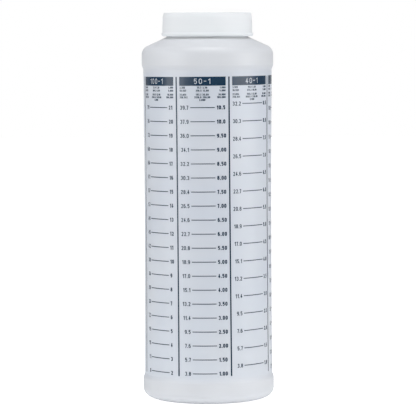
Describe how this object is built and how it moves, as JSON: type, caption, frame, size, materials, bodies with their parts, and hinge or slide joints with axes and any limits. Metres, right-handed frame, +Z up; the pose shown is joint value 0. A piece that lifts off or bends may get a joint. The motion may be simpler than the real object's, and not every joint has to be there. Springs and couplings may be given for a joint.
{
  "type": "mixing bottle",
  "caption": "Tall round blow-moulded bottle with a print panel recessed between bumper rolls, a sloping shoulder and a lined screw cap, for measuring and mixing liquids.",
  "frame": {"origin": "centre of the ring that the bottle stands on", "axes": "+Z up along the bottle's axis, -Y towards the side seen in the picture"},
  "size_m": [0.0802, 0.0802, 0.2358],
  "materials": {
    "natural_polyethylene": "undyed translucent polyethylene, bluish white, softly glossy as blown",
    "white_polypropylene": "opaque white moulded polypropylene, satin",
    "liner_foam": "white closed-cell foam, matt",
    "scale_ink": "dark blue screen ink of the printed scale, softly glossy"
  },
  "bodies": {
    "bottle": {"bottle": "natural_polyethylene"},
    "liner": {"cap_liner": "liner_foam"},
    "cap": {"screw_cap": "white_polypropylene"}
  },
  "joints": [
    {"name": "cap_lift", "type": "slide", "parent": "bottle", "child": "liner", "axis": [0, 0, 1], "range_m": [0, 0.0127]},
    {"name": "cap_turn", "type": "hinge", "parent": "liner", "child": "cap", "pos_m": [0, 0, 0.2345], "axis": [0, 0, 1], "range_deg": [0, 1080]}
  ],
  "couplings": [
    {"joint": "cap_lift", "follows": "cap_turn", "m_per_rad": 0.00067376}
  ]
}
